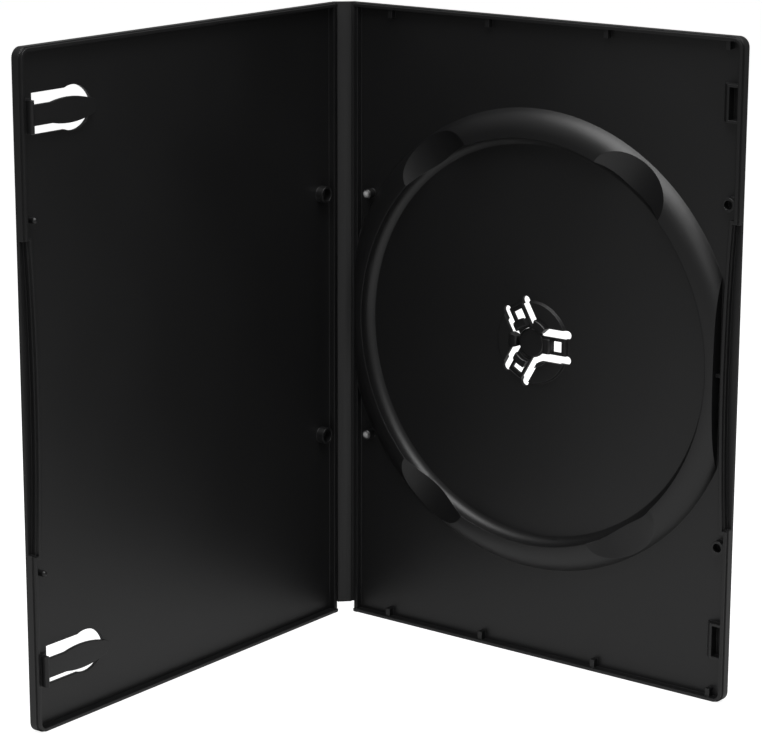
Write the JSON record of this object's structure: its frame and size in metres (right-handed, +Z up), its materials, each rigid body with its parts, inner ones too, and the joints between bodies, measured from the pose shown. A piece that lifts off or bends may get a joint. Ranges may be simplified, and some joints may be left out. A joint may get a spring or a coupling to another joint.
{
  "type": "slim disc case",
  "caption": "Slim plastic disc case that opens like a book: a cover with booklet clips, a spine on thin hinge webs, and a tray with a round recess and a sprung push-to-release hub.",
  "frame": {"origin": "middle of the underside of the standing case's bounding box", "axes": "+Z up along the spine, +Y out of the back of the tray, and the open side towards +X and -Y"},
  "size_m": [0.1396, 0.1396, 0.19],
  "materials": {
    "case": "satin"
  },
  "bodies": {
    "rear_tray": {"rear_tray": "case"},
    "hub_button": {"hub_button": "case"},
    "hub_arm_side": {"hub_arm_side": "case"},
    "hub_arm_upper": {"hub_arm_upper": "case"},
    "hub_arm_lower": {"hub_arm_lower": "case"},
    "spine": {"spine": "case"},
    "front_cover": {"front_cover": "case"}
  },
  "joints": [
    {"name": "tray_hinge", "type": "hinge", "parent": "rear_tray", "child": "spine", "pos_m": [-0.06497, 0.06963, 0.095], "axis": [0, 0, 1], "range_deg": [-45, 45]},
    {"name": "cover_hinge", "type": "hinge", "parent": "spine", "child": "front_cover", "pos_m": [-0.06963, 0.06497, 0.095], "axis": [0, 0, 1], "range_deg": [-45, 45]},
    {"name": "hub_press", "type": "slide", "parent": "rear_tray", "child": "hub_button", "axis": [0, 1, 0], "range_m": [0, 0.0009], "stiffness_N_per_m": 4000},
    {"name": "hub_arm_side_bend", "type": "hinge", "parent": "rear_tray", "child": "hub_arm_side", "pos_m": [0.01293, 0.06838, 0.0956], "axis": [0, 0, -1], "range_deg": [0, 7.6]},
    {"name": "hub_arm_upper_bend", "type": "hinge", "parent": "rear_tray", "child": "hub_arm_upper", "pos_m": [-0.00402, 0.06838, 0.10539], "axis": [0.866, 0, 0.5], "range_deg": [0, 7.6]},
    {"name": "hub_arm_lower_bend", "type": "hinge", "parent": "rear_tray", "child": "hub_arm_lower", "pos_m": [-0.00402, 0.06838, 0.08581], "axis": [-0.866, 0, 0.5], "range_deg": [0, 7.6]}
  ],
  "couplings": [
    {"joint": "hub_arm_side_bend", "follows": "hub_press", "rad_per_m": 144.93},
    {"joint": "hub_arm_upper_bend", "follows": "hub_press", "rad_per_m": 144.93},
    {"joint": "hub_arm_lower_bend", "follows": "hub_press", "rad_per_m": 144.93}
  ]
}
